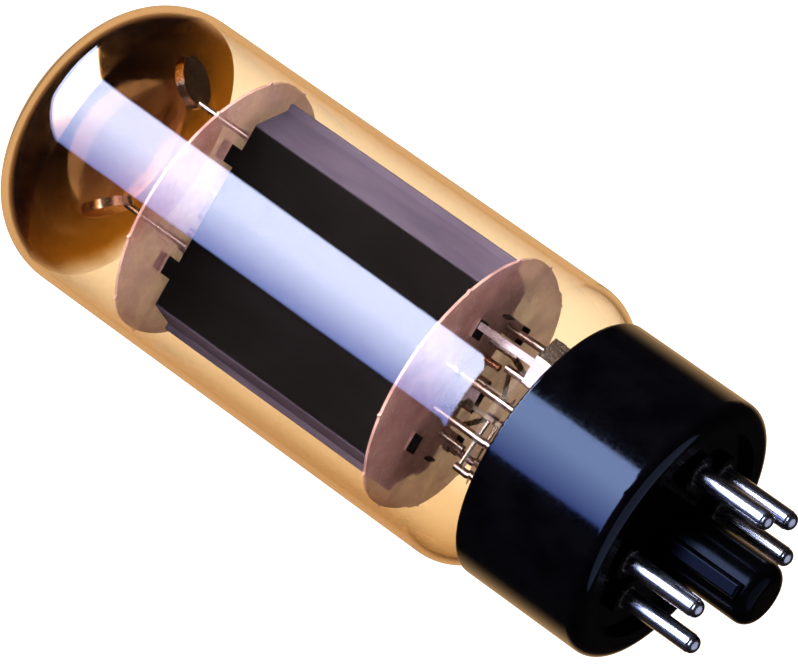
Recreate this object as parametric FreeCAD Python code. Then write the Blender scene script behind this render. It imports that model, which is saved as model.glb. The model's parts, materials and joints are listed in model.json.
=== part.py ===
"""Octal power beam tetrode: phenolic base, glass bulb and the electrode mount inside it.

Millimetres. The origin is the centre of the seating plane under the base, +Z points at the dome
of the bulb, and the locating key of the spigot points along -Y.
"""
import FreeCAD, Part
import math
import os

V = FreeCAD.Vector
UP = V(0, 0, 1)
os.makedirs("parts", exist_ok=True)

# ---- driving dimensions: base -------------------------------------------------------------
BASE_R = 16.8               # outside radius of the phenolic shell
BASE_H = 18.0               # height of the shell above the seating plane
BASE_WALL = 1.4
BASE_EDGE_R = 1.7           # rounded lower edge
BASE_TOP_EDGE_R = 0.4
BASE_RECESS = 1.1           # the base plate is this far above the seating ring
BASE_FLOOR = 2.4            # thickness of the base plate
PLATE_TOP = BASE_RECESS + BASE_FLOOR
SINK = 0.5                  # spigot and bosses run this far into the plate
RIM_INNER_R = 13.4          # inside radius of the seating ring
BOSS_R = 2.3                # raised boss round each pin
SPIGOT_R = 3.95
SPIGOT_BORE_R = 2.95
SPIGOT_TIP_Z = -12.9
SPIGOT_EDGE_R = 1.7         # rounded end of the spigot
SPIGOT_TIP_WALL = 1.3
KEY_REACH = 5.0             # radius of the key's ridge
KEY_W = 1.9
KEY_EDGE_R = 0.35
CEMENT_LOW_Z = 9.5
CEMENT_HIGH_Z = 16.5

# ---- driving dimensions: pins -------------------------------------------------------------
PIN_PITCH_R = 17.45 / 2     # octal pin circle
PIN_R = 1.19
PIN_ROOT_R = 1.4            # the part moulded into the base
PIN_ROOT_Z = 0.1            # top face of each boss
PIN_BORE_R = 0.8
PIN_TIP_Z = -9.3
PIN_COLLAR_R = 1.75
PIN_COLLAR_H = 0.8
PIN_TAPER = 0.25            # height of the tapered tip
PIN_TIP_R = PIN_R - 0.1
BEAD_H = 0.85               # solder beyond the end of the pin
PLUG_H = 1.6                # solder inside the pin
USED_PLACES = (2, 3, 4, 5, 7, 8)

# ---- driving dimensions: bulb -------------------------------------------------------------
BULB_R = 18.25
GLASS_T = 0.85
NECK_R = 14.9               # glass inside the base
NECK_END_Z = 9.0
SHOULDER_Z = 24.0           # full radius is reached here
SHOULDER_R = 6.5
NECK_FILLET_R = 2.0
DOME_Z = 82.5               # end of the straight wall
DOME_KNUCKLE_R = 9.8
APEX_Z = 94.9
FLASH_T = 0.06              # getter film
FLASH_Z = 80.5              # lower edge of the film

# ---- driving dimensions: stem -------------------------------------------------------------
STEM_T = 2.0
EXHAUST_R = 2.3
EXHAUST_WALL = 0.6
EXHAUST_TIP_Z = -6.5
EXHAUST_TIP_H = 3.0         # height of the drawn-out tip
EXHAUST_TIP_R = 0.5
EXHAUST_SEAL = 0.6          # depth of glass melted shut above the tip
CONE_FOOT_R = 1.5           # glass drawn up round each lead
CONE_TOP_R = 0.9
CONE_H = 1.3
STEM_UNDER_Z = NECK_END_Z - STEM_T
LEAD_CIRCLE_R = 8.0         # most leads stand on this circle inside the bulb
LEAD_R = 0.5
TAIL_R = 0.32               # copper tail below the stem
TAIL_START_Z = STEM_UNDER_Z - 0.6
TAIL_BEND_Z = TAIL_START_Z - 0.4
TAIL_PIN_Z = TAIL_START_Z - 1.8
ROD_BEYOND = 0.9            # support rod above the lower mica
LEAD_BEYOND = 0.6           # lead above its strap
EYELET_WALL = 0.4
EYELET_H = 0.75

# ---- driving dimensions: electrode mount --------------------------------------------------
LOWER_MICA_Z = 31.2
UPPER_MICA_Z = 69.1
MICA_T = 0.35
LOWER_MICA_R = 16.6
UPPER_MICA_R = 16.9
FIT_GAP = 0.06              # clearance of whatever passes a mica
MICA_POINTS = 12            # small points round each mica
POINT_SIZE = 0.6
POINT_SINK = 0.1
BULB_GAP = 0.03             # mica point to bulb
WELD_GAP = 0.02             # between welded pieces
STRAP_T = 0.2
SHEET_T = 0.4               # anode sheet
ANODE_FLAT_X = 11.9         # half width of the broad face
ANODE_Y = 5.3               # half depth at mid sheet
ANODE_SIDE_X = 14.3         # where the sloping side meets the flange
ANODE_EDGE_X = 15.1
ANODE_MARGIN = 1.6          # anode to mica
BEAM_X = 9.4
BEAM_OPEN_X = 5.6
BEAM_Y = 3.4
BEAM_T = 0.25
BEAM_TAB_W = 1.8
BEAM_TAB_REACH = 0.9        # tab beyond the mica
CATHODE_HALF = (2.2, 0.8)   # flattened sleeve, half width and half depth
CATHODE_T = 0.12
COATING_T = 0.12
COATING_MARGIN = 2.0        # bare sleeve inside each end of the anode
GRID1_X = 4.0
GRID1_HALF_Y = 1.5
GRID2_X = 6.1
GRID2_HALF_Y = 2.4
GRID_ROD_R = 0.45
GRID_WIRE = 0.14
GRID_PITCH = 1.5
GRID_MARGIN = 2.5           # first and last turn inside each end of the anode
GRID_BEYOND = 2.0           # rods above the upper mica
GRID_BELOW = 0.6            # rods below their strap
GETTER_POST_R = 0.4
GETTER_FOOT = {"right": (9.6, -2.2), "left": (-5.2, -2.2)}
GETTER_TOP = {"right": 77.4, "left": 79.3}
PAN_R = 3.1                 # round pan with a ring-shaped trough
PAN_HUB_R = 1.3
PAN_H = 1.1
PAN_T = 0.2
PAN_LEAN = 45               # degrees, outwards from the axis
PAN_GRIP = 0.4              # rim past the middle of its post
PAN_DROP = 0.7              # foot of the pan below the top of the post
POST_BELOW = 0.6            # post below the upper mica


# ---- helpers ------------------------------------------------------------------------------
def save(name, shape):
    """Write one node as a STEP file."""
    shape.exportStep("parts/%s.step" % name)


def group(shapes):
    """Separate solids kept together in one node."""
    return Part.makeCompound(shapes)


def fuse(shapes):
    """One solid made of touching shapes."""
    return shapes[0].multiFuse(shapes[1:]).removeSplitter()


def disc(radius, z_low, z_high, at=(0, 0)):
    """Upright cylinder between two heights."""
    return Part.makeCylinder(radius, z_high - z_low, V(at[0], at[1], z_low))


def tube(outer, inner, z_low, z_high, at=(0, 0)):
    """Upright hollow cylinder."""
    return disc(outer, z_low, z_high, at).cut(disc(inner, z_low - 1, z_high + 1, at))


def block(center, size, z_low, z_high):
    """Upright box centred on a point of the plan."""
    corner = V(center[0] - size[0] / 2, center[1] - size[1] / 2, z_low)
    return Part.makeBox(size[0], size[1], z_high - z_low, corner)


def polar(radius, degrees):
    """Point of the plan from a radius and an angle."""
    angle = math.radians(degrees)
    return radius * math.cos(angle), radius * math.sin(angle)


def place_angle(place):
    """Angle of an octal place, counted from the key, seen from above."""
    return -90 + 22.5 + 45 * (place - 1)


def revolve(edges):
    """Solid of revolution about Z from the edges of a closed outline in the XZ plane."""
    face = Part.Face(Part.Wire(edges))
    return face.revolve(V(0, 0, 0), UP, 360)


def line(a, b):
    """Edge in the XZ plane."""
    return Part.makeLine(V(a[0], 0, a[1]), V(b[0], 0, b[1]))


def arc(center, radius, from_deg, to_deg):
    """Circular edge in the XZ plane, angles measured from +X towards +Z."""
    def point(degrees):
        x, z = polar(radius, degrees)
        return V(center[0] + x, 0, center[1] + z)
    return Part.Arc(point(from_deg), point((from_deg + to_deg) / 2), point(to_deg)).toShape()


def racetrack(half_x, half_y, z_low, z_high):
    """Upright slab with two straight sides and two round ends."""
    middle = half_x - half_y
    ends = [disc(half_y, z_low, z_high, (x, 0)) for x in (-middle, middle)]
    return fuse([block((0, 0), (2 * middle, 2 * half_y), z_low, z_high)] + ends)


def strip(points, thickness, z_low, z_high):
    """Sheet standing on edge along an open polyline of the plan."""
    wire = Part.makePolygon([V(x, y, z_low) for x, y in points])
    outline = wire.makeOffset2D(thickness / 2, 0, False, False)
    return Part.Face(outline).extrude(V(0, 0, z_high - z_low))


def ribbon(a, b, width, z):
    """Flat ribbon from a to b, lying at height z."""
    dx = b[0] - a[0]
    dy = b[1] - a[1]
    flat = Part.makeBox(math.hypot(dx, dy), width, STRAP_T, V(0, -width / 2, 0))
    flat.rotate(V(0, 0, 0), UP, math.degrees(math.atan2(dy, dx)))
    flat.translate(V(a[0], a[1], z))
    return flat


def bent_wire(points, radius):
    """Round wire along a polyline, with a ball at each bend."""
    parts = []
    for start, end in zip(points, points[1:]):
        run = V(*end) - V(*start)
        parts.append(Part.makeCylinder(radius, run.Length, V(*start), run))
    parts += [Part.makeSphere(radius, V(*p)) for p in points[1:-1]]
    return fuse(parts)


# ---- base ---------------------------------------------------------------------------------
def base_profile():
    """Shell with its plate, seating ring and rounded lower edge."""
    inner_r = BASE_R - BASE_WALL
    edge_x = BASE_R - BASE_EDGE_R
    return revolve([
        line((0, BASE_RECESS), (RIM_INNER_R, BASE_RECESS)),
        line((RIM_INNER_R, BASE_RECESS), (RIM_INNER_R, 0)),
        line((RIM_INNER_R, 0), (edge_x, 0)),
        arc((edge_x, BASE_EDGE_R), BASE_EDGE_R, -90, 0),
        line((BASE_R, BASE_EDGE_R), (BASE_R, BASE_H - BASE_TOP_EDGE_R)),
        arc((BASE_R - BASE_TOP_EDGE_R, BASE_H - BASE_TOP_EDGE_R), BASE_TOP_EDGE_R, 0, 90),
        line((BASE_R - BASE_TOP_EDGE_R, BASE_H), (inner_r, BASE_H)),
        line((inner_r, BASE_H), (inner_r, PLATE_TOP)),
        line((inner_r, PLATE_TOP), (0, PLATE_TOP)),
        line((0, PLATE_TOP), (0, BASE_RECESS)),
    ])


def spigot():
    """Hollow locating spigot with its key ridge."""
    edge = SPIGOT_EDGE_R
    body = revolve([
        line((0, SPIGOT_TIP_Z), (SPIGOT_R - edge, SPIGOT_TIP_Z)),
        arc((SPIGOT_R - edge, SPIGOT_TIP_Z + edge), edge, -90, 0),
        line((SPIGOT_R, SPIGOT_TIP_Z + edge), (SPIGOT_R, BASE_RECESS + SINK)),
        line((SPIGOT_R, BASE_RECESS + SINK), (0, BASE_RECESS + SINK)),
        line((0, BASE_RECESS + SINK), (0, SPIGOT_TIP_Z)),
    ])
    ridge = block((0, -KEY_REACH / 2), (KEY_W, KEY_REACH), SPIGOT_TIP_Z + edge, BASE_RECESS + SINK)
    outer = [e for e in ridge.Edges if abs(e.CenterOfMass.y + KEY_REACH) < 1e-6]
    return fuse([body, ridge.makeFillet(KEY_EDGE_R, outer)])


def base_shell():
    """Moulded base: shell, bosses and spigot, drilled for the pins and the exhaust tube."""
    places = [polar(PIN_PITCH_R, place_angle(p)) for p in USED_PLACES]
    bosses = [disc(BOSS_R, PIN_ROOT_Z, BASE_RECESS + SINK, at) for at in places]
    body = fuse([base_profile(), spigot()] + bosses)
    body = body.cut(disc(SPIGOT_BORE_R, SPIGOT_TIP_Z + SPIGOT_TIP_WALL, BASE_H))
    for at in places:
        body = body.cut(disc(PIN_ROOT_R, -1, BASE_H, at))
        body = body.cut(disc(PIN_COLLAR_R, PLATE_TOP - PIN_COLLAR_H, BASE_H, at))
    return body


def pin(place):
    """Hollow pin with a collar that locks it in the base plate."""
    at = polar(PIN_PITCH_R, place_angle(place))
    shape = revolve([
        line((PIN_BORE_R, PIN_TIP_Z), (PIN_TIP_R, PIN_TIP_Z)),
        line((PIN_TIP_R, PIN_TIP_Z), (PIN_R, PIN_TIP_Z + PIN_TAPER)),
        line((PIN_R, PIN_TIP_Z + PIN_TAPER), (PIN_R, PIN_ROOT_Z)),
        line((PIN_R, PIN_ROOT_Z), (PIN_ROOT_R, PIN_ROOT_Z)),
        line((PIN_ROOT_R, PIN_ROOT_Z), (PIN_ROOT_R, PLATE_TOP - PIN_COLLAR_H)),
        line((PIN_ROOT_R, PLATE_TOP - PIN_COLLAR_H), (PIN_COLLAR_R, PLATE_TOP - PIN_COLLAR_H)),
        line((PIN_COLLAR_R, PLATE_TOP - PIN_COLLAR_H), (PIN_COLLAR_R, PLATE_TOP)),
        line((PIN_COLLAR_R, PLATE_TOP), (PIN_BORE_R, PLATE_TOP)),
        line((PIN_BORE_R, PLATE_TOP), (PIN_BORE_R, PIN_TIP_Z)),
    ])
    shape.translate(V(at[0], at[1], 0))
    return shape


def solder_bead(place):
    """Solder that closes the tip of a pin, round the end of its copper tail."""
    at = polar(PIN_PITCH_R, place_angle(place))
    bead = Part.makeSphere(PIN_TIP_R, V(at[0], at[1], PIN_TIP_Z))
    bead = bead.common(disc(PIN_R, PIN_TIP_Z - PIN_TIP_R, PIN_TIP_Z, at))
    squash = FreeCAD.Matrix()
    squash.scale(1, 1, BEAD_H / PIN_TIP_R)
    bead.translate(V(0, 0, -PIN_TIP_Z))
    bead = bead.transformGeometry(squash)
    bead.translate(V(0, 0, PIN_TIP_Z))
    plug = tube(PIN_BORE_R, TAIL_R, PIN_TIP_Z, PIN_TIP_Z + PLUG_H, at)
    return fuse([bead, plug])


# ---- glass --------------------------------------------------------------------------------
def shoulder_centers():
    """Centre of the shoulder arc, of the neck's fillet arc, and the angle of the line between."""
    big = (BULB_R - SHOULDER_R, SHOULDER_Z)
    small_x = NECK_R + NECK_FILLET_R
    drop = math.sqrt((SHOULDER_R + NECK_FILLET_R) ** 2 - (small_x - big[0]) ** 2)
    small = (small_x, SHOULDER_Z - drop)
    angle = math.degrees(math.atan2(-drop, small_x - big[0]))
    return big, small, angle


def dome_centers():
    """Centre of the knuckle, centre height and radius of the crown, and the joint's angle."""
    kx = BULB_R - DOME_KNUCKLE_R
    rise = APEX_Z - DOME_KNUCKLE_R - DOME_Z
    depth = (kx ** 2 - rise ** 2) / (2 * rise)
    crown_z = DOME_Z - depth
    angle = math.degrees(math.atan2(depth, kx))
    return kx, crown_z, APEX_Z - crown_z, angle


def bulb_wall(offset):
    """Edges of the bulb's wall from the neck up to the apex, set in by an offset."""
    big, small, turn = shoulder_centers()
    kx, crown_z, crown_r, angle = dome_centers()
    radius = BULB_R - offset
    return [
        line((NECK_R - offset, NECK_END_Z), (NECK_R - offset, small[1])),
        arc(small, NECK_FILLET_R + offset, 180, 180 + turn),
        arc(big, SHOULDER_R - offset, turn, 0),
        line((radius, SHOULDER_Z), (radius, DOME_Z)),
        arc((kx, DOME_Z), DOME_KNUCKLE_R - offset, 0, angle),
        arc((0, crown_z), crown_r - offset, angle, 90),
    ]


def glass_bulb():
    """Straight bulb with a rounded dome, drawn in to the neck at the base."""
    outer = bulb_wall(0)
    inner = bulb_wall(GLASS_T)
    ends = [
        line((NECK_R, NECK_END_Z), (NECK_R - GLASS_T, NECK_END_Z)),
        line((0, APEX_Z), (0, APEX_Z - GLASS_T)),
    ]
    return revolve(Part.__sortEdges__(outer + inner + ends))


def getter_flash():
    """Film of evaporated getter metal inside the dome and down the top of the wall."""
    kx, crown_z, crown_r, angle = dome_centers()
    edges = []
    for offset in (GLASS_T, GLASS_T + FLASH_T):
        edges.append(line((BULB_R - offset, FLASH_Z), (BULB_R - offset, DOME_Z)))
        edges.append(arc((kx, DOME_Z), DOME_KNUCKLE_R - offset, 0, angle))
        edges.append(arc((0, crown_z), crown_r - offset, angle, 90))
    edges.append(line((BULB_R - GLASS_T, FLASH_Z), (BULB_R - GLASS_T - FLASH_T, FLASH_Z)))
    edges.append(line((0, APEX_Z - GLASS_T), (0, APEX_Z - GLASS_T - FLASH_T)))
    return revolve(Part.__sortEdges__(edges))


def button_stem(leads):
    """Glass disc that closes the bulb, with a small cone round each lead."""
    stem = disc(NECK_R, STEM_UNDER_Z, NECK_END_Z)
    for lead in leads:
        cone = Part.makeCone(CONE_FOOT_R, CONE_TOP_R, CONE_H, V(lead[0], lead[1], NECK_END_Z))
        stem = stem.fuse(cone)
    for lead in leads:
        stem = stem.cut(disc(LEAD_R, STEM_UNDER_Z, NECK_END_Z + CONE_H, lead))
    return stem.cut(disc(EXHAUST_R, STEM_UNDER_Z, NECK_END_Z)).removeSplitter()


def exhaust_tube():
    """Glass tube used to empty the bulb, sealed off at its lower end inside the spigot."""
    bore_r = EXHAUST_R - EXHAUST_WALL
    shoulder = EXHAUST_TIP_Z + EXHAUST_TIP_H
    return revolve([
        line((0, EXHAUST_TIP_Z), (EXHAUST_TIP_R, EXHAUST_TIP_Z)),
        line((EXHAUST_TIP_R, EXHAUST_TIP_Z), (EXHAUST_R, shoulder)),
        line((EXHAUST_R, shoulder), (EXHAUST_R, NECK_END_Z)),
        line((EXHAUST_R, NECK_END_Z), (bore_r, NECK_END_Z)),
        line((bore_r, NECK_END_Z), (bore_r, shoulder)),
        line((bore_r, shoulder), (0, shoulder - EXHAUST_SEAL)),
        line((0, shoulder - EXHAUST_SEAL), (0, EXHAUST_TIP_Z)),
    ])


def basing_cement():
    """Ring of cement between the neck of the bulb and the shell of the base."""
    return tube(BASE_R - BASE_WALL, NECK_R, CEMENT_LOW_Z, CEMENT_HIGH_Z)


# ---- leads --------------------------------------------------------------------------------
LEAD_AT = {place: polar(LEAD_CIRCLE_R, place_angle(place)) for place in range(1, 9)}
LEAD_AT[1] = polar(5.1, -66)
LEAD_AT[2] = polar(6.0, -30)
LEAD_AT[3] = polar(8.4, 12)
LEAD_AT[7] = polar(7.9, 191)
LEAD_AT[8] = polar(6.6, place_angle(8))
HEATER_STRAP_Z = 26.0
SCREEN_STRAP_Z = 27.9
CONTROL_STRAP_Z = 29.2
CATHODE_STRAP_Z = 29.6
ANODE_TIE_Z = 30.3
STRAP_OF_LEAD = {2: HEATER_STRAP_Z, 3: ANODE_TIE_Z, 4: SCREEN_STRAP_Z,
                 5: CONTROL_STRAP_Z, 7: HEATER_STRAP_Z, 8: CATHODE_STRAP_Z}
LEAD_NAME = {2: "heater_lead_a", 3: "anode_lead", 4: "screen_grid_lead",
             5: "control_grid_lead", 7: "heater_lead_b", 8: "cathode_lead"}


def stem_lead(place):
    """Rod from its electrode down through the stem, and its copper tail down into the pin."""
    x, y = LEAD_AT[place]
    px, py = polar(PIN_PITCH_R, place_angle(place))
    rod = disc(LEAD_R, TAIL_START_Z, STRAP_OF_LEAD[place] + LEAD_BEYOND, (x, y))
    tail = bent_wire([(x, y, STEM_UNDER_Z), (x, y, TAIL_BEND_Z),
                      (px, py, TAIL_PIN_Z), (px, py, PIN_TIP_Z)], TAIL_R)
    return fuse([rod, tail])


def support_rod(place):
    """Dead rod that only carries the lower mica, cut off flush under the stem."""
    return disc(LEAD_R, STEM_UNDER_Z, LOWER_MICA_Z + ROD_BEYOND, LEAD_AT[place])


def rod_eyelets():
    """Ferrules pressed on the support rods and grid rods, under and over the micas."""
    low = LOWER_MICA_Z - MICA_T / 2
    high = UPPER_MICA_Z + MICA_T / 2
    rings = []
    for place in (1, 6):
        rings.append(tube(LEAD_R + EYELET_WALL, LEAD_R, low - EYELET_H, low, LEAD_AT[place]))
    for x in (GRID1_X, GRID2_X):
        for side in (-1, 1):
            at = (side * x, 0)
            rings.append(tube(GRID_ROD_R + EYELET_WALL, GRID_ROD_R, high, high + EYELET_H, at))
    return group(rings)


# ---- electrodes ---------------------------------------------------------------------------
ANODE_LOW = LOWER_MICA_Z + ANODE_MARGIN
ANODE_HIGH = UPPER_MICA_Z - ANODE_MARGIN
TAB_W = 2.2
TAB_XS = (-7.5, 7.5)
TAB_REACH = 1.1


def anode_half(side):
    """Pressed half of the anode: broad face, two sloping sides and two seam flanges."""
    seam = side * SHEET_T / 2
    outline = [
        (-ANODE_EDGE_X, seam),
        (-ANODE_SIDE_X, seam),
        (-ANODE_FLAT_X, side * ANODE_Y),
        (ANODE_FLAT_X, side * ANODE_Y),
        (ANODE_SIDE_X, seam),
        (ANODE_EDGE_X, seam),
    ]
    sheet = strip(outline, SHEET_T, ANODE_LOW, ANODE_HIGH)
    tabs = []
    for x in TAB_XS:
        at = (x, side * ANODE_Y)
        tabs.append(block(at, (TAB_W, SHEET_T), LOWER_MICA_Z - TAB_REACH, ANODE_LOW))
        tabs.append(block(at, (TAB_W, SHEET_T), ANODE_HIGH, UPPER_MICA_Z + TAB_REACH))
    return fuse([sheet] + tabs)


def beam_plate(side):
    """Channel at cathode potential that shapes the beam at one end of the grids."""
    points = [
        (side * BEAM_OPEN_X, -BEAM_Y),
        (side * BEAM_X, -BEAM_Y),
        (side * BEAM_X, BEAM_Y),
        (side * BEAM_OPEN_X, BEAM_Y),
    ]
    channel = strip(points, BEAM_T, ANODE_LOW, ANODE_HIGH)
    tab_low = block((side * BEAM_X, 0), (BEAM_T, BEAM_TAB_W), LOWER_MICA_Z - BEAM_TAB_REACH, ANODE_LOW)
    tab_high = block((side * BEAM_X, 0), (BEAM_T, BEAM_TAB_W), ANODE_HIGH,
                     UPPER_MICA_Z + BEAM_TAB_REACH)
    return fuse([channel, tab_low, tab_high])


CATHODE_LOW = LOWER_MICA_Z - 2.4
CATHODE_HIGH = UPPER_MICA_Z + 1.6


def cathode_sleeve():
    """Flattened nickel tube, open at both ends."""
    half_x, half_y = CATHODE_HALF
    outer = racetrack(half_x, half_y, CATHODE_LOW, CATHODE_HIGH)
    inner = racetrack(half_x - CATHODE_T, half_y - CATHODE_T, CATHODE_LOW - 1, CATHODE_HIGH + 1)
    return outer.cut(inner)


def cathode_coating():
    """White oxide coating on the middle of the sleeve."""
    half_x, half_y = CATHODE_HALF
    low = ANODE_LOW + COATING_MARGIN
    high = ANODE_HIGH - COATING_MARGIN
    outer = racetrack(half_x + COATING_T, half_y + COATING_T, low, high)
    return outer.cut(racetrack(half_x, half_y, low - 1, high + 1))


HEATER_R = 0.3
HEATER_PITCH = 0.95
HEATER_MARGIN = 1.0         # folds inside each end of the anode


def heater():
    """Coated wire folded into four strands, with two legs that hang out of the sleeve."""
    xs = [(i - 1.5) * HEATER_PITCH for i in range(4)]
    low = ANODE_LOW + HEATER_MARGIN
    high = ANODE_HIGH - HEATER_MARGIN
    leg_end = HEATER_STRAP_Z - 2 * STRAP_T
    parts = []
    for i, x in enumerate(xs):
        bottom = leg_end if i in (0, 3) else low
        parts.append(disc(HEATER_R, bottom, high, (x, 0)))
    for x, z, side in ((xs[0], high, 1), (xs[2], high, 1), (xs[1], low, -1)):
        parts.append(half_loop(x + HEATER_PITCH / 2, z, HEATER_PITCH / 2, side))
    return fuse(parts)


def half_loop(x, z, radius, side):
    """Half of a small ring that joins two upright strands, open downwards for side 1."""
    ring = Part.makeTorus(radius, HEATER_R, V(x, 0, z), V(0, 1, 0))
    half = 2 * (radius + HEATER_R)
    low = z if side > 0 else z - half
    return ring.common(block((x, 0), (2 * half, 2 * half), low, low + half))


def grid_rods(x, low):
    """The two side rods of a grid."""
    high = UPPER_MICA_Z + GRID_BEYOND
    return group([disc(GRID_ROD_R, low, high, (side * x, 0)) for side in (-1, 1)])


def grid_turns(rod_x, half_y):
    """Turns of fine wire round the side rods, one separate loop per turn."""
    inner_x = rod_x + GRID_ROD_R + WELD_GAP
    loops = []
    z = ANODE_LOW + GRID_MARGIN
    while z < ANODE_HIGH - GRID_MARGIN:
        outer = racetrack(inner_x + GRID_WIRE, half_y + GRID_WIRE, z, z + GRID_WIRE)
        loops.append(outer.cut(racetrack(inner_x, half_y, z - 1, z + 1)))
        z += GRID_PITCH
    return group(loops)


# ---- micas --------------------------------------------------------------------------------
def mica(radius, z, holes):
    """Mica disc with small points that touch the bulb, punched for what passes through it."""
    low = z - MICA_T / 2
    high = z + MICA_T / 2
    body = disc(radius, low, high)
    step = 360 / MICA_POINTS
    for i in range(MICA_POINTS):
        degrees = (i + 0.5) * step
        x, y = polar(radius - POINT_SINK, degrees)
        point = block((0, 0), (POINT_SIZE, POINT_SIZE), low, high)
        point.rotate(V(0, 0, 0), UP, degrees + 45)
        point.translate(V(x, y, 0))
        body = body.fuse(point)
    body = body.common(disc(BULB_R - GLASS_T - BULB_GAP, low, high))
    return body.cut(group(holes)).removeSplitter()


def shared_holes():
    """Openings that both micas have: cathode, grid rods, anode tabs and beam plate tabs."""
    low = LOWER_MICA_Z - 2
    high = UPPER_MICA_Z + 2
    gap = 2 * FIT_GAP
    holes = [racetrack(CATHODE_HALF[0] + FIT_GAP, CATHODE_HALF[1] + FIT_GAP, low, high)]
    for side in (-1, 1):
        for x in (GRID1_X, GRID2_X):
            holes.append(disc(GRID_ROD_R + FIT_GAP, low, high, (side * x, 0)))
        holes.append(block((side * BEAM_X, 0), (BEAM_T + gap, BEAM_TAB_W + gap), low, high))
        for x in TAB_XS:
            holes.append(block((x, side * ANODE_Y), (TAB_W + gap, SHEET_T + gap), low, high))
    return holes


def lower_mica():
    """Lower spacer, also held by the two support rods."""
    rods = [disc(LEAD_R + FIT_GAP, 20, 40, LEAD_AT[place]) for place in (1, 6)]
    return mica(LOWER_MICA_R, LOWER_MICA_Z, shared_holes() + rods)


def upper_mica():
    """Upper spacer, which carries the getter posts."""
    posts = [disc(GETTER_POST_R + FIT_GAP, 60, 80, foot) for foot in GETTER_FOOT.values()]
    return mica(UPPER_MICA_R, UPPER_MICA_Z, shared_holes() + posts)


# ---- straps -------------------------------------------------------------------------------
STRAP_W = 0.8               # ribbons between electrodes and leads
STRAP_LOW = 20.6            # the wide anode strap
STRAP_H = 2.4
BAND_BEFORE_TAB = 2.0       # how far it runs past the middle of the anode's tab
BAND_AFTER_TAB = 1.4
BAND_CORNER = (11.2, -3.6)
BAND_GRIP = 0.7             # half length welded to the lead
LEG_SHIFT = 0.5
LEG_W = 0.9
CATHODE_STRAP_X = -1.0
TIE_GAP = 0.12              # keeps the square end of a ribbon off a flat face
BRIDGE_RISE = 0.8           # bridge above the upper mica
BRIDGE_W = 0.9


def touching(target, start, reach):
    """End of a ribbon that stops at the surface of a round rod."""
    dx = target[0] - start[0]
    dy = target[1] - start[1]
    length = math.hypot(dx, dy)
    keep = (length - reach) / length
    return start[0] + dx * keep, start[1] + dy * keep


def rod_strap(electrode, electrode_r, place, z):
    """Ribbon welded between an electrode's rod and its lead."""
    lead = LEAD_AT[place]
    start = touching(electrode, lead, electrode_r + WELD_GAP)
    end = touching(lead, electrode, LEAD_R + WELD_GAP)
    return ribbon(start, end, STRAP_W, z)


def heater_strap(side, place):
    """Ribbon from one leg of the heater to its lead."""
    return rod_strap((side * 1.5 * HEATER_PITCH, 0), HEATER_R, place, HEATER_STRAP_Z)


def cathode_strap():
    """Ribbon from the cathode sleeve to its lead."""
    lead = LEAD_AT[8]
    start = (CATHODE_STRAP_X, -CATHODE_HALF[1] - TIE_GAP)
    return ribbon(start, touching(lead, start, LEAD_R + WELD_GAP), STRAP_W, CATHODE_STRAP_Z)


def anode_strap_front():
    """Wide ribbon on edge: from the lower tab of the front half round to the anode's lead."""
    face_y = -ANODE_Y - SHEET_T / 2 - STRAP_T / 2
    lead_x, lead_y = LEAD_AT[3]
    outer_x = lead_x + LEAD_R + STRAP_T / 2 + WELD_GAP
    tab_x = TAB_XS[1]
    band = [(tab_x - BAND_BEFORE_TAB, face_y), (tab_x + BAND_AFTER_TAB, face_y), BAND_CORNER,
            (outer_x, lead_y - BAND_GRIP), (outer_x, lead_y + BAND_GRIP)]
    leg = block((tab_x + LEG_SHIFT, face_y), (LEG_W, STRAP_T), STRAP_LOW, LOWER_MICA_Z - MICA_T)
    return fuse([leg, strip(band, STRAP_T, STRAP_LOW, STRAP_LOW + STRAP_H)])


def anode_strap_back():
    """Short tie from the lower tab of the back half to the anode's lead."""
    lead = LEAD_AT[3]
    tab = (TAB_XS[1], ANODE_Y - SHEET_T / 2 - TIE_GAP)
    return ribbon(touching(lead, tab, LEAD_R + WELD_GAP), tab, STRAP_W, ANODE_TIE_Z)


def cathode_bridge():
    """Strap above the upper mica that joins both beam plates to the cathode."""
    z = UPPER_MICA_Z + MICA_T / 2 + BRIDGE_RISE
    half = BEAM_X - BEAM_T / 2 - WELD_GAP
    return block((0, CATHODE_HALF[1] + BRIDGE_W), (2 * half, BRIDGE_W), z, z + STRAP_T)


# ---- getters ------------------------------------------------------------------------------
def getter_post(side):
    """Wire that stands in the upper mica and carries a getter pan."""
    return disc(GETTER_POST_R, UPPER_MICA_Z - POST_BELOW, GETTER_TOP[side], GETTER_FOOT[side])


def getter_pan(side):
    """Round pan that held the getter metal, leaning outwards, its lower rim welded to the post."""
    outline = [(0, 0), (PAN_R, 0), (PAN_R, PAN_H), (PAN_R - PAN_T, PAN_H), (PAN_R - PAN_T, PAN_T),
               (PAN_HUB_R + PAN_T, PAN_T), (PAN_HUB_R + PAN_T, PAN_H), (PAN_HUB_R, PAN_H),
               (PAN_HUB_R, PAN_T), (0, PAN_T), (0, 0)]
    pan = revolve([line(a, b) for a, b in zip(outline, outline[1:])])
    outwards = 1 if side == "right" else -1
    pan.rotate(V(0, 0, 0), V(0, 1, 0), -outwards * PAN_LEAN)
    x, y = GETTER_FOOT[side]
    reach_x, reach_z = polar(PAN_R - PAN_GRIP, PAN_LEAN)
    pan.translate(V(x + outwards * reach_x, y, GETTER_TOP[side] - PAN_DROP + reach_z))
    return pan.cut(getter_post(side))


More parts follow.
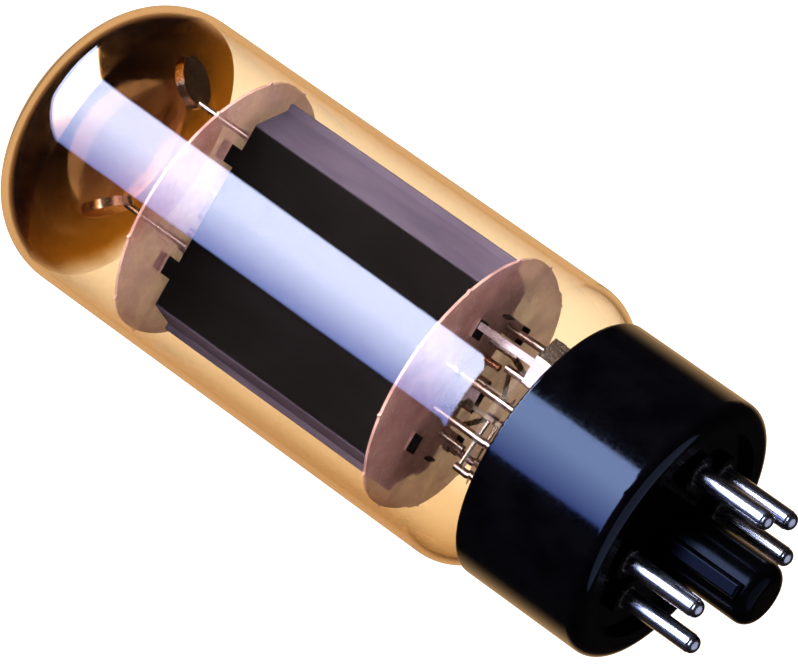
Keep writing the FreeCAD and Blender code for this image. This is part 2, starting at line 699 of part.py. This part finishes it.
# ---- write every node ---------------------------------------------------------------------
save("base_shell", base_shell())
save("basing_cement", basing_cement())
for number in USED_PLACES:
    save("pin_%d" % number, pin(number))
    save(LEAD_NAME[number], stem_lead(number))
save("pin_solder", group([solder_bead(number) for number in USED_PLACES]))
save("glass_bulb", glass_bulb())
save("getter_flash", getter_flash())
save("button_stem", button_stem(list(LEAD_AT.values())))
save("exhaust_tube", exhaust_tube())
save("support_rods", group([support_rod(place) for place in (1, 6)]))
save("rod_eyelets", rod_eyelets())
save("lower_mica", lower_mica())
save("upper_mica", upper_mica())
save("anode_front", anode_half(-1))
save("anode_back", anode_half(1))
save("beam_plate_right", beam_plate(1))
save("beam_plate_left", beam_plate(-1))
save("cathode_sleeve", cathode_sleeve())
save("cathode_coating", cathode_coating())
save("heater", heater())
save("control_grid_rods", grid_rods(GRID1_X, CONTROL_STRAP_Z - GRID_BELOW))
save("control_grid_winding", grid_turns(GRID1_X, GRID1_HALF_Y))
save("screen_grid_rods", grid_rods(GRID2_X, SCREEN_STRAP_Z - GRID_BELOW))
save("screen_grid_winding", grid_turns(GRID2_X, GRID2_HALF_Y))
save("screen_grid_strap", rod_strap((GRID2_X, 0), GRID_ROD_R, 4, SCREEN_STRAP_Z))
save("control_grid_strap", rod_strap((-GRID1_X, 0), GRID_ROD_R, 5, CONTROL_STRAP_Z))
save("cathode_strap", cathode_strap())
save("heater_strap_right", heater_strap(1, 2))
save("heater_strap_left", heater_strap(-1, 7))
save("anode_strap_front", anode_strap_front())
save("anode_strap_back", anode_strap_back())
save("cathode_bridge", cathode_bridge())
for label in GETTER_FOOT:
    save("getter_post_%s" % label, getter_post(label))
    save("getter_pan_%s" % label, getter_pan(label))
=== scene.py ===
import json
import math

import bpy
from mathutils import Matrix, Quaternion, Vector


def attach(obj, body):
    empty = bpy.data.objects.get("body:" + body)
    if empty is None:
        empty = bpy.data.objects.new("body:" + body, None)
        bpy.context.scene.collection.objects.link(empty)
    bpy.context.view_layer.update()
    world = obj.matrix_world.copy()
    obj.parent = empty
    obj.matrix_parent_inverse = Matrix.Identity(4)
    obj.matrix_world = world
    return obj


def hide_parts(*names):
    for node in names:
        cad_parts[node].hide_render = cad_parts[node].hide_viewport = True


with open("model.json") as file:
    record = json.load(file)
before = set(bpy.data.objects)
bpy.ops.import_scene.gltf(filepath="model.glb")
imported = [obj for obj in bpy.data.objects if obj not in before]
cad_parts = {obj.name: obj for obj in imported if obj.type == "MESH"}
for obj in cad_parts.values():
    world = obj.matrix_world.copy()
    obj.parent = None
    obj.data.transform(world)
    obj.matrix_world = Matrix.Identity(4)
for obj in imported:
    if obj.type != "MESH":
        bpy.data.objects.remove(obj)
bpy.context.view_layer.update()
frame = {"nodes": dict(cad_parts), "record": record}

NODES = frame["nodes"]
MM = 0.001
PER_MM = 1000.0             # pattern scales are given per millimetre

# ---- bulb, in millimetres, as in the CAD ---------------------------------------------------
BULB_R = 18.25
GLASS_T = 0.85
NECK_R = 14.9
NECK_END_Z = 9.0
NECK_FILLET_R = 2.0
SHOULDER_Z = 24.0
SHOULDER_R = 6.5
DOME_Z = 82.5
DOME_KNUCKLE_R = 9.8
APEX_Z = 94.9
FILM_Z = 80.6               # lower edge of the getter film
FILM_GAP = 0.01             # keeps the film off the glass
FILM_T = 0.04
LATHE_STEPS = 224
ARC_STEP = 2.5              # degrees between points of a lathed arc
SHARP_ANGLE = 35            # degrees, edges sharper than this stay sharp

# ---- view and studio -------------------------------------------------------------------------
CAMERA_AT = Vector((134.25, -556.57, -211.21)) * MM
LOOK_AT = Vector((4.06, -14.00, 35.29)) * MM
CAMERA_ROLL = -54.6
LENS = 248.1
BACKGROUND = 1.55
BACKDROP_AZIMUTH = 103.5    # middle of the white backdrop, as the photographer saw it
FLOOR_Z = -1.15
FLOOR_R = 0.9


# ---- meshes ----------------------------------------------------------------------------------
def arc_points(center, radius, start, end):
    """Points of an arc in the radius-height plane, angles from the radius axis upwards."""
    steps = max(2, math.ceil(abs(end - start) / ARC_STEP))
    points = []
    for i in range(steps + 1):
        angle = math.radians(start + (end - start) * i / steps)
        points.append((center[0] + radius * math.cos(angle), center[1] + radius * math.sin(angle)))
    return points


def mesh_object(name, vertices, faces):
    """Object from vertices in millimetres, smooth except at edges sharper than an angle."""
    mesh = bpy.data.meshes.new(name)
    mesh.from_pydata([(x * MM, y * MM, z * MM) for x, y, z in vertices], [], faces)
    mesh.update()
    mesh.shade_smooth()
    mesh.set_sharp_from_angle(angle=math.radians(SHARP_ANGLE))
    made = bpy.data.objects.new(name, mesh)
    bpy.context.scene.collection.objects.link(made)
    return made


def lathe(name, outline, closed=True):
    """Solid of revolution about Z from an outline that runs anticlockwise in the radius-height plane."""
    vertices = []
    rings = []
    for radius, z in outline:
        if radius < 1e-6:
            rings.append([len(vertices)])
            vertices.append((0, 0, z))
            continue
        rings.append(list(range(len(vertices), len(vertices) + LATHE_STEPS)))
        for i in range(LATHE_STEPS):
            angle = 2 * math.pi * i / LATHE_STEPS
            vertices.append((radius * math.cos(angle), radius * math.sin(angle), z))
    faces = []
    pairs = list(zip(rings, rings[1:] + rings[:1])) if closed else list(zip(rings, rings[1:]))
    for low, high in pairs:
        if len(low) == 1 and len(high) == 1:
            continue
        for i in range(LATHE_STEPS):
            j = (i + 1) % LATHE_STEPS
            face = [low[i % len(low)], low[j % len(low)], high[j % len(high)], high[i % len(high)]]
            faces.append(list(dict.fromkeys(face)))
    return mesh_object(name, vertices, faces)


def dome_numbers():
    """Centre radius of the knuckle, centre height and radius of the crown, and the joint's angle."""
    knuckle = BULB_R - DOME_KNUCKLE_R
    rise = APEX_Z - DOME_KNUCKLE_R - DOME_Z
    depth = (knuckle ** 2 - rise ** 2) / (2 * rise)
    crown_z = DOME_Z - depth
    return knuckle, crown_z, APEX_Z - crown_z, math.degrees(math.atan2(depth, knuckle))


def wall_line(offset):
    """Line of the bulb's wall from the neck to the apex, set in by an offset."""
    big = (BULB_R - SHOULDER_R, SHOULDER_Z)
    small_r = NECK_R + NECK_FILLET_R
    drop = math.sqrt((SHOULDER_R + NECK_FILLET_R) ** 2 - (small_r - big[0]) ** 2)
    small = (small_r, SHOULDER_Z - drop)
    turn = math.degrees(math.atan2(-drop, small_r - big[0]))
    knuckle, crown_z, crown_r, joint = dome_numbers()
    points = [(NECK_R - offset, NECK_END_Z)]
    points += arc_points(small, NECK_FILLET_R + offset, 180, 180 + turn)
    points += arc_points(big, SHOULDER_R - offset, turn, 0)[1:]
    points += [(BULB_R - offset, SHOULDER_Z + (DOME_Z - SHOULDER_Z) * i / 12) for i in range(1, 12)]
    points += arc_points((knuckle, DOME_Z), DOME_KNUCKLE_R - offset, 0, joint)
    points += arc_points((0, crown_z), crown_r - offset, joint, 90)[1:-1]
    return points + [(0, crown_z + crown_r - offset)]


def glass_bulb():
    """Blown bulb: one closed wall of even thickness."""
    return lathe("bulb", wall_line(0) + wall_line(GLASS_T)[::-1])


def getter_film():
    """Mirror film on the inside of the dome."""
    def film_line(offset):
        return [p for p in wall_line(offset) if p[1] > FILM_Z or p[0] < 1e-6]
    outer = film_line(GLASS_T + FILM_GAP)
    inner = film_line(GLASS_T + FILM_GAP + FILM_T)
    return lathe("dome_film", outer + inner[::-1])


# ---- materials: helpers ------------------------------------------------------------------------
NOISE_SPAN = (0.3, 0.7)     # the range in which nearly all of a noise pattern lies
CLOUD_SPAN = (0.35, 0.65)
GRAIN_SCALE = 6.0


def new_material(name):
    """Material with an empty Principled shader: the material, its node tree and the shader."""
    material = bpy.data.materials.new(name)
    material.use_nodes = True
    tree = material.node_tree
    tree.nodes.clear()
    output = tree.nodes.new("ShaderNodeOutputMaterial")
    shader = tree.nodes.new("ShaderNodeBsdfPrincipled")
    tree.links.new(shader.outputs["BSDF"], output.inputs["Surface"])
    return material, tree, shader


def settings(shader, **values):
    """Constant values set on the shader's own sockets, with underscores for spaces."""
    for name, value in values.items():
        socket = shader.inputs[name.replace("_", " ")]
        if isinstance(value, tuple) and len(value) == 3 and len(socket.default_value) == 4:
            value = value + (1.0,)
        socket.default_value = value


def place(tree, stretch=(1, 1, 1)):
    """Object coordinates in millimetres, stretched per axis."""
    coordinates = tree.nodes.new("ShaderNodeTexCoord")
    mapping = tree.nodes.new("ShaderNodeMapping")
    mapping.inputs["Scale"].default_value = [PER_MM * s for s in stretch]
    tree.links.new(coordinates.outputs["Object"], mapping.inputs["Vector"])
    return mapping.outputs["Vector"]


def noise(tree, scale, detail=3.0, stretch=(1, 1, 1)):
    """Noise pattern of so many cells per millimetre."""
    made = tree.nodes.new("ShaderNodeTexNoise")
    made.inputs["Scale"].default_value = scale
    made.inputs["Detail"].default_value = detail
    tree.links.new(place(tree, stretch), made.inputs["Vector"])
    return made.outputs["Fac"]


def mapped(tree, value, low, high, to_low, to_high, smooth=False):
    """Value brought from one range to another, clamped."""
    made = tree.nodes.new("ShaderNodeMapRange")
    made.clamp = True
    if smooth:
        made.interpolation_type = "SMOOTHSTEP"
    made.inputs["From Min"].default_value = low
    made.inputs["From Max"].default_value = high
    made.inputs["To Min"].default_value = to_low
    made.inputs["To Max"].default_value = to_high
    tree.links.new(value, made.inputs["Value"])
    return made.outputs["Result"]


def calc(tree, operation, a, b):
    """Math node on sockets or numbers."""
    made = tree.nodes.new("ShaderNodeMath")
    made.operation = operation
    for socket, value in zip(made.inputs, (a, b)):
        if isinstance(value, (int, float)):
            socket.default_value = value
        else:
            tree.links.new(value, socket)
    return made.outputs["Value"]


def mixed(tree, factor, a, b):
    """Colour between two colours, each a socket or three numbers."""
    made = tree.nodes.new("ShaderNodeMix")
    made.data_type = "RGBA"
    tree.links.new(factor, made.inputs["Factor"])
    for socket, value in ((made.inputs[6], a), (made.inputs[7], b)):
        if isinstance(value, tuple):
            socket.default_value = value + (1.0,)
        else:
            tree.links.new(value, socket)
    return made.outputs[2]


def along(tree, axis):
    """One of the object's coordinates in millimetres."""
    split = tree.nodes.new("ShaderNodeSeparateXYZ")
    tree.links.new(place(tree), split.inputs["Vector"])
    return split.outputs[axis]


def bump(tree, shader, value, strength, depth_mm=0.05):
    """Relief from a pattern."""
    made = tree.nodes.new("ShaderNodeBump")
    made.inputs["Strength"].default_value = strength
    made.inputs["Distance"].default_value = depth_mm * MM
    tree.links.new(value, made.inputs["Height"])
    tree.links.new(made.outputs["Normal"], shader.inputs["Normal"])


def coloured(tree, shader, factor, a, b):
    """Base colour between two colours."""
    tree.links.new(mixed(tree, factor, a, b), shader.inputs["Base Color"])


def glossed(tree, shader, pattern, low, high):
    """Roughness that follows a noise pattern."""
    tree.links.new(mapped(tree, pattern, *NOISE_SPAN, low, high), shader.inputs["Roughness"])


def clouds(tree, scale, detail=4.0, stretch=(1, 1, 1)):
    """Soft patches from nought to one."""
    return mapped(tree, noise(tree, scale, detail, stretch), *CLOUD_SPAN, 0.0, 1.0)


def mottled(name, dark, light, rough, scale, relief, metallic):
    """Surface whose colour and gloss wander between two values, with a fine relief."""
    material, tree, shader = new_material(name)
    coloured(tree, shader, clouds(tree, scale), dark, light)
    grain = noise(tree, GRAIN_SCALE, 3.0)
    glossed(tree, shader, grain, *rough)
    bump(tree, shader, grain, relief)
    settings(shader, Metallic=metallic)
    return material


def blend(tree, factor, a, b):
    """Makes the material's surface a blend of two shaders."""
    mix = tree.nodes.new("ShaderNodeMixShader")
    output = next(n for n in tree.nodes if n.type == "OUTPUT_MATERIAL")
    tree.links.new(factor, mix.inputs["Fac"])
    tree.links.new(a, mix.inputs[1])
    tree.links.new(b, mix.inputs[2])
    tree.links.new(mix.outputs["Shader"], output.inputs["Surface"])


def shadow_passes(tree, shader, tint):
    """Lets lamp light through clear glass instead of stopping it."""
    path = tree.nodes.new("ShaderNodeLightPath")
    clear = tree.nodes.new("ShaderNodeBsdfTransparent")
    clear.inputs["Color"].default_value = tint + (1.0,)
    blend(tree, path.outputs["Is Shadow Ray"], shader.outputs["BSDF"], clear.outputs["BSDF"])


# ---- materials: each finish ----------------------------------------------------------------------
GLASS_IOR = 1.5
AMBER = (0.972, 0.815, 0.610)
# the second amber is the glass darkened as painted shade
AMBER_PAINTED_SHADE = (0.75, 0.52, 0.28)
PAINTED_SHADE_X = (-15.5, -9.0)      # the painted shade, a browner tint, fades across this range
PAINTED_SHADE_Z = (18.0, 80.0)       # and weakens up the wall
STEM_TINT = (0.93, 0.96, 0.95)


def bulb_glass():
    """Amber tinted glass with painted shade that makes it browner on the left and towards the base, and
    very faint blowing waves.
    """
    material, tree, shader = new_material("bulb_glass")
    settings(shader, Transmission_Weight=1.0, IOR=GLASS_IOR)
    streaks = noise(tree, 0.12, 2.0, (1, 1, 0.25))
    glossed(tree, shader, streaks, 0.0, 0.012)
    # painted shade: the glass is tinted browner on the left and low down, where the inside is shaded
    left = mapped(tree, along(tree, "X"), *PAINTED_SHADE_X, 1.0, 0.0, True)
    low = mapped(tree, along(tree, "Z"), *PAINTED_SHADE_Z, 1.0, 0.35)
    coloured(tree, shader, calc(tree, "MULTIPLY", left, low), AMBER, AMBER_PAINTED_SHADE)
    bump(tree, shader, streaks, 0.06, 0.2)
    shadow_passes(tree, shader, AMBER)
    return material


def stem_glass():
    """Clear pressed glass."""
    material, tree, shader = new_material("stem_glass")
    settings(shader, Base_Color=STEM_TINT, Transmission_Weight=1.0, IOR=GLASS_IOR)
    waves = noise(tree, 0.5, 2.0)
    glossed(tree, shader, waves, 0.01, 0.06)
    bump(tree, shader, waves, 0.1, 0.1)
    shadow_passes(tree, shader, STEM_TINT)
    return material


def film_metal():
    """Evaporated getter metal: black-brown mirror that thins out through gold at its lower edge."""
    material, tree, shader = new_material("getter_film")
    settings(shader, Metallic=1.0)
    wander = mapped(tree, noise(tree, 0.09, 3.0), *NOISE_SPAN, -1.0, 1.0)
    lopsided = calc(tree, "MULTIPLY", along(tree, "X"), 0.08)
    level = calc(tree, "ADD", calc(tree, "ADD", along(tree, "Z"), wander), lopsided)
    dense = mapped(tree, level, 84.5, 91.0, 0.0, 1.0, True)
    coloured(tree, shader, dense, (0.92, 0.58, 0.24), (0.20, 0.115, 0.06))
    glossed(tree, shader, noise(tree, 0.7, 4.0), 0.05, 0.16)
    thin = tree.nodes.new("ShaderNodeBsdfTransparent")
    fringe = mapped(tree, level, 80.2, 84.0, 0.0, 1.0, True)
    tree.links.new(mixed(tree, fringe, (1.0, 1.0, 1.0), (0.55, 0.36, 0.10)), thin.inputs["Color"])
    cover = mapped(tree, level, 82.0, 93.0, 0.08, 0.95, True)
    blend(tree, cover, thin.outputs["BSDF"], shader.outputs["BSDF"])
    return material


def phenolic():
    """Glossy black moulded phenolic, duller on the spigot and the underside."""
    material, tree, shader = new_material("phenolic")
    coloured(tree, shader, clouds(tree, 0.25), (0.0008, 0.0006, 0.0007), (0.0022, 0.0017, 0.0017))
    polish = mapped(tree, noise(tree, 2.2, 5.0), 0.3, 0.75, 0.07, 0.16)
    dull = mapped(tree, along(tree, "Z"), -1.0, 0.6, 0.10, 0.0, True)
    tree.links.new(calc(tree, "ADD", polish, dull), shader.inputs["Roughness"])
    bump(tree, shader, noise(tree, 0.35, 2.0), 0.05, 0.1)
    settings(shader, IOR=1.37, Specular_Tint=(0.66, 0.80, 1.0), Specular_IOR_Level=0.5)
    shine = mapped(tree, along(tree, "Z"), -1.2, 0.4, 0.13, 0.5, True)
    tree.links.new(shine, shader.inputs["Specular IOR Level"])
    return material


def mica_sheet():
    """Split mica: half clear, faintly pink, with cleavage flakes."""
    material, tree, shader = new_material("mica")
    flakes = tree.nodes.new("ShaderNodeTexVoronoi")
    flakes.inputs["Scale"].default_value = 0.35
    tree.links.new(place(tree, (1, 1, 0.1)), flakes.inputs["Vector"])
    cloud = clouds(tree, 0.3, 5.0)
    coloured(tree, shader, cloud, (0.70, 0.48, 0.55), (0.88, 0.68, 0.76))
    flaky = mapped(tree, flakes.outputs["Distance"], 0.0, 1.2, 0.0, 0.12)
    opaque = calc(tree, "ADD", flaky, mapped(tree, cloud, 0, 1, 0.48, 0.64))
    tree.links.new(opaque, shader.inputs["Alpha"])
    glossed(tree, shader, noise(tree, 1.5, 4.0), 0.12, 0.32)
    settings(shader, IOR=1.58)
    return material


def anode_metal():
    """Carbonised sheet: sooty black broad faces, and sloping sides painted greyer and bluish as a lit
    sheen.
    """
    material, tree, shader = new_material("anode")
    out = calc(tree, "ABSOLUTE", along(tree, "X"), 0)
    # painted sheen: the sloping sides get a lighter grey-blue colour that stands in for the light they
    # catch
    sheen_mask = mapped(tree, out, 11.7, 12.1, 0.0, 1.0, True)
    cloud = clouds(tree, 0.35, 5.0, (1, 1, 0.3))
    face = mixed(tree, cloud, (0.0020, 0.0022, 0.0036), (0.0045, 0.0050, 0.0080))
    sheen_colour = mixed(tree, cloud, (0.105, 0.105, 0.200), (0.145, 0.145, 0.265))
    coloured(tree, shader, sheen_mask, face, sheen_colour)
    fine = noise(tree, 5.0, 3.0, (1, 1, 0.4))
    glossed(tree, shader, fine, 0.42, 0.60)
    bump(tree, shader, fine, 0.2, 0.03)
    settings(shader, IOR=1.14)
    return material


def pin_metal():
    """Polished nickel plate with fine drawing lines along the pin."""
    material, tree, shader = new_material("pin_plating")
    cloud = clouds(tree, 0.6, stretch=(1, 1, 0.4))
    coloured(tree, shader, cloud, (0.72, 0.69, 0.67), (0.88, 0.86, 0.84))
    lines = noise(tree, 9.0, 4.0, (1, 1, 0.06))
    glossed(tree, shader, lines, 0.18, 0.32)
    bump(tree, shader, lines, 0.12, 0.02)
    settings(shader, Metallic=1.0)
    return material


# dark colour, light colour and range of roughness
METALS = {
    "solder": ((0.50, 0.49, 0.49), (0.68, 0.67, 0.66), (0.12, 0.30)),
    "nickel": ((0.58, 0.54, 0.53), (0.76, 0.72, 0.71), (0.16, 0.30)),
    "nickel_wire": ((0.52, 0.48, 0.46), (0.70, 0.66, 0.63), (0.15, 0.30)),
    "gold_wire": ((0.70, 0.48, 0.18), (0.85, 0.62, 0.28), (0.15, 0.30)),
    "copper": ((0.55, 0.25, 0.15), (0.75, 0.38, 0.24), (0.20, 0.35)),
    "lead_metal": ((0.56, 0.47, 0.45), (0.76, 0.66, 0.63), (0.14, 0.28)),
    "getter_pan": ((0.62, 0.46, 0.32), (0.85, 0.70, 0.54), (0.12, 0.28)),
}
MATT = {
    "cement": ((0.30, 0.27, 0.22), (0.42, 0.38, 0.31), (0.70, 0.90)),
    "carbonised_metal": ((0.012, 0.012, 0.013), (0.030, 0.029, 0.030), (0.40, 0.60)),
    "oxide": ((0.72, 0.71, 0.69), (0.84, 0.83, 0.80), (0.80, 0.95)),
    "alumina": ((0.70, 0.68, 0.66), (0.82, 0.80, 0.78), (0.75, 0.90)),
}
USUAL_PATCH_SCALE = 0.8
USUAL_RELIEF = 0.15
PATCH_SCALE = {"solder": 1.2, "cement": 0.6, "getter_pan": 0.5}
RELIEF = {"nickel": 0.05, "getter_pan": 0.03, "cement": 0.5, "oxide": 0.4, "alumina": 0.4}


def finishes():
    """Every finish by the record's slot name."""
    made = {
        "phenolic": phenolic(),
        "bulb_glass": bulb_glass(),
        "stem_glass": stem_glass(),
        "getter_film": film_metal(),
        "mica": mica_sheet(),
        "blackened_metal": anode_metal(),
        "pin_plating": pin_metal(),
    }
    for table, metallic in ((METALS, 1.0), (MATT, 0.0)):
        for name, (dark, light, rough) in table.items():
            scale = PATCH_SCALE.get(name, USUAL_PATCH_SCALE)
            relief = RELIEF.get(name, USUAL_RELIEF)
            made[name] = mottled(name, dark, light, rough, scale, relief, metallic)
    return made


def slot_of_nodes():
    """The record's material slot of every CAD node."""
    return {entry["node"]: entry["material_slot"] for entry in frame["record"]["subparts"]}


# ---- studio ----------------------------------------------------------------------------------------
def direction(azimuth, elevation):
    """Unit vector from an azimuth, counted from +X towards +Y, and an elevation."""
    a = math.radians(azimuth)
    e = math.radians(elevation)
    return Vector((math.cos(a) * math.cos(e), math.sin(a) * math.cos(e), math.sin(e)))


def toward(tree, vector):
    """Dot product of the looked-at direction with a vector."""
    coordinates = tree.nodes.new("ShaderNodeTexCoord")
    dot = tree.nodes.new("ShaderNodeVectorMath")
    dot.operation = "DOT_PRODUCT"
    dot.inputs[1].default_value = vector
    tree.links.new(coordinates.outputs["Generated"], dot.inputs[0])
    return dot.outputs["Value"]


def seen_straight(tree):
    """One where the eye looks straight on or through clear glass, nought in reflections and lighting."""
    path = tree.nodes.new("ShaderNodeLightPath")
    straight = calc(tree, "ADD", path.outputs["Is Camera Ray"], path.outputs["Is Transmission Ray"])
    bounces = calc(tree, "SUBTRACT", path.outputs["Ray Depth"], path.outputs["Transmission Depth"])
    return calc(tree, "MULTIPLY", straight, calc(tree, "LESS_THAN", bounces, 1.5))


CARD_CORNERS = ((-107, 6), (-59, 6), (9, 64), (-82, 73))     # azimuth and elevation
CARD_EDGE = 0.012           # softness of the card's outline
CARD_LEFT = (1.8, 2.5, 7.2)
CARD_RIGHT = (9.3, 10.8, 16.5)
ROOM = (0.014, 0.012, 0.013)
BACKDROP = (0.76, 0.46, 0.22)


def studio():
    """White behind the object, a dark room round the camera and one large cool light card."""
    world = bpy.data.worlds.new("studio")
    bpy.context.scene.world = world
    world.use_nodes = True
    tree = world.node_tree
    tree.nodes.clear()
    corners = [direction(*c) for c in CARD_CORNERS]
    inside = 1.0
    for a, b in zip(corners, corners[1:] + corners[:1]):
        edge = mapped(tree, toward(tree, a.cross(b).normalized()), -CARD_EDGE, CARD_EDGE, 0, 1, True)
        inside = calc(tree, "MULTIPLY", inside, edge)
    across = mapped(tree, toward(tree, direction(BACKDROP_AZIMUTH - 90, 0)), -0.45, 0.10, 0, 1)
    card = mixed(tree, across, CARD_LEFT, CARD_RIGHT)
    behind = mapped(tree, toward(tree, direction(BACKDROP_AZIMUTH, 36)), 0.66, 0.90, 0, 1, True)
    room = mixed(tree, behind, ROOM, BACKDROP)
    lit = mixed(tree, inside, room, card)
    background = tree.nodes.new("ShaderNodeBackground")
    output = tree.nodes.new("ShaderNodeOutputWorld")
    tree.links.new(mixed(tree, seen_straight(tree), lit, (BACKGROUND,) * 3), background.inputs["Color"])
    tree.links.new(background.outputs["Background"], output.inputs["Surface"])


def floor():
    """Round pale floor, low enough for the camera to look up at the tube from below."""
    ring = [(FLOOR_R / MM, 0.0), (0.0, 0.0)]
    made = lathe("floor", ring, closed=False)
    made.location.z = FLOOR_Z
    material, tree, shader = new_material("floor")
    settings(shader, Base_Color=(0.30, 0.30, 0.30), Roughness=0.8, Emission_Color=(1, 1, 1))
    glow = calc(tree, "MULTIPLY", seen_straight(tree), BACKGROUND)
    tree.links.new(glow, shader.inputs["Emission Strength"])
    made.data.materials.append(material)


def camera():
    """Camera at the photograph's viewing angle: below the pin end, looking up, rolled."""
    data = bpy.data.cameras.new("camera")
    data.lens = LENS
    data.clip_start = 0.01
    data.clip_end = 20.0
    made = bpy.data.objects.new("camera", data)
    bpy.context.scene.collection.objects.link(made)
    made.location = CAMERA_AT
    made.rotation_mode = "QUATERNION"
    level = (LOOK_AT - CAMERA_AT).to_track_quat("-Z", "Y")
    made.rotation_quaternion = level @ Quaternion((0, 0, 1), math.radians(CAMERA_ROLL))
    bpy.context.scene.camera = made


# ---- the object --------------------------------------------------------------------------------------
FINISH = finishes()
SLOT = slot_of_nodes()


def paint(made, material):
    """Gives an object one material."""
    made.data.materials.clear()
    made.data.materials.append(material)


def stand_for(made, *nodes):
    """New piece that rides on the tube in place of CAD nodes and takes their finish."""
    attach(made, "root")
    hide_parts(*nodes)
    slot = SLOT[nodes[0]]
    paint(made, FINISH[slot])


for name, node in NODES.items():
    paint(node, FINISH[SLOT[name]])

stand_for(glass_bulb(), "glass_bulb")
stand_for(getter_film(), "getter_flash")

studio()
floor()
camera()
bpy.context.scene.view_settings.view_transform = "Standard"
